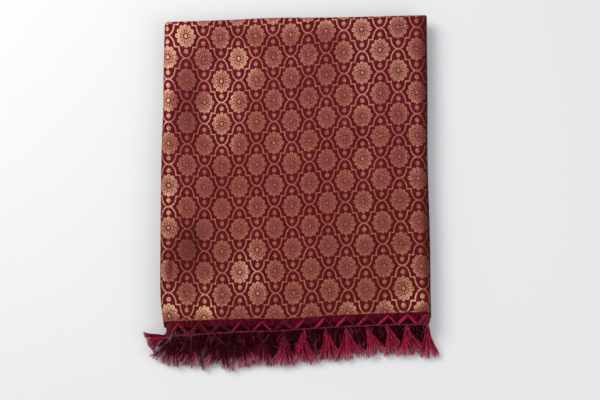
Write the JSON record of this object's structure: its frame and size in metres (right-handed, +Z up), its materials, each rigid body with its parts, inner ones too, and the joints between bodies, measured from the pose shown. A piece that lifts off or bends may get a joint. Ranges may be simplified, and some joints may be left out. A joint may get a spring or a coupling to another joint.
{
  "type": "folded silk sari",
  "caption": "Silk brocade sari folded into a flat rectangle, its patterned end leaf on top, with a plain end band, a net of knotted cords and tassels along one edge.",
  "frame": {"origin": "middle of the footprint, on the surface that the folded sari lies on", "axes": "+Z up from that surface, +X across the folded width, +Y away from the fringe"},
  "size_m": [0.3042, 0.376, 0.0267],
  "materials": {
    "brocade": "satin silk with metallic pattern weft",
    "folded_edges": "satin silk, layered folds",
    "plain_silk": "plain silk, soft sheen",
    "fringe_silk": "twisted silk floss"
  },
  "bodies": {
    "root": {"folded_layers": "folded_edges", "top_leaf": "brocade", "end_band": "plain_silk", "second_leaf_end": "plain_silk", "cord_net": "fringe_silk", "tassel_1": "fringe_silk", "tassel_2": "fringe_silk", "tassel_3": "fringe_silk", "tassel_4": "fringe_silk", "tassel_5": "fringe_silk", "tassel_6": "fringe_silk", "tassel_7": "fringe_silk", "tassel_8": "fringe_silk", "tassel_9": "fringe_silk", "tassel_10": "fringe_silk", "tassel_11": "fringe_silk", "tassel_12": "fringe_silk", "tassel_13": "fringe_silk", "tassel_14": "fringe_silk", "second_tassel_1": "fringe_silk", "second_tassel_2": "fringe_silk", "second_tassel_3": "fringe_silk", "second_tassel_4": "fringe_silk", "second_tassel_5": "fringe_silk", "second_tassel_6": "fringe_silk", "second_tassel_7": "fringe_silk", "second_tassel_8": "fringe_silk", "second_tassel_9": "fringe_silk", "second_tassel_10": "fringe_silk", "second_tassel_11": "fringe_silk", "second_tassel_12": "fringe_silk"}
  },
  "joints": []
}
